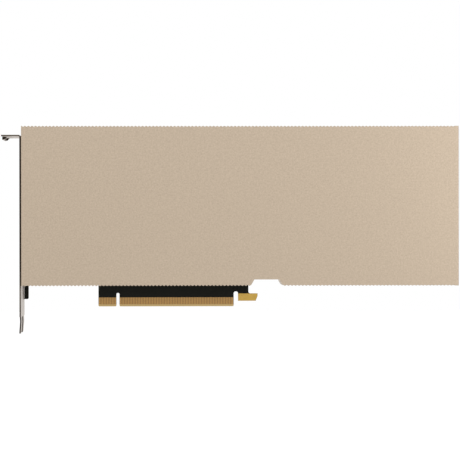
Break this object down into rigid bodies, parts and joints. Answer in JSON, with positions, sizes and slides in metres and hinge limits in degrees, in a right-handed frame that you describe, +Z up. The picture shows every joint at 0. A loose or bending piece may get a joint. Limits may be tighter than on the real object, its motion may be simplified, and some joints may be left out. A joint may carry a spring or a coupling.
{
  "type": "gpu accelerator card",
  "caption": "Dual-slot passive accelerator card with a ribbed champagne metal shroud, gold edge connector and two-prong bracket.",
  "frame": {"origin": "centre of the key notch, on the board's middle plane, level with the tips of the edge contacts", "axes": "+X along the card from the bracket towards the tail end, +Y towards the back of the board, +Z up from the slot"},
  "size_m": [0.2794, 0.0387, 0.1267],
  "materials": {
    "champagne_aluminium": "bead-blasted and anodised, satin",
    "board_laminate": "black solder mask on glass-epoxy laminate",
    "gold_plate": "hard gold plating over nickel",
    "black_plastic": "moulded, glass-filled",
    "black_aluminium": "black anodised, satin",
    "screw_steel": "zinc plated",
    "nickel_steel": "nickel plated sheet",
    "spring_steel": "rolled sheet",
    "bare_aluminium": "mill finish",
    "copper": "bare copper",
    "substrate_green": "laminate",
    "silicon": "polished",
    "thermal_pad": "soft filled silicone",
    "ferrite": "pressed powder",
    "chip_epoxy": "moulded epoxy",
    "tantalum": "moulded case",
    "film": "polycarbonate film",
    "tin_plate": "tin plated"
  },
  "bodies": {
    "root": {"front_shroud": "champagne_aluminium", "circuit_board": "board_laminate", "edge_contacts_front": "gold_plate", "edge_contacts_back": "gold_plate", "hook_plating": "gold_plate", "link_contacts": "gold_plate", "link_caps": "black_plastic", "power_socket": "black_plastic", "power_pins": "tin_plate", "board_frame": "black_aluminium", "backplate": "black_aluminium", "insulator_film": "film", "spring_plate": "spring_steel", "spring_screws": "screw_steel", "backplate_screws": "screw_steel", "shroud_screws": "screw_steel", "bracket_screws": "screw_steel", "io_bracket": "nickel_steel", "heat_sink_posts": "bare_aluminium", "vapour_chamber": "copper", "fin_base": "bare_aluminium", "cooling_fins": "bare_aluminium", "processor_substrate": "substrate_green", "processor_die": "silicon", "memory_stacks": "silicon", "package_ring": "spring_steel", "thermal_paste": "thermal_pad", "inductor_pads": "thermal_pad", "power_inductors": "ferrite", "power_stages": "chip_epoxy", "control_chips": "chip_epoxy", "output_capacitors": "tantalum", "input_capacitors": "tantalum"}
  },
  "joints": []
}
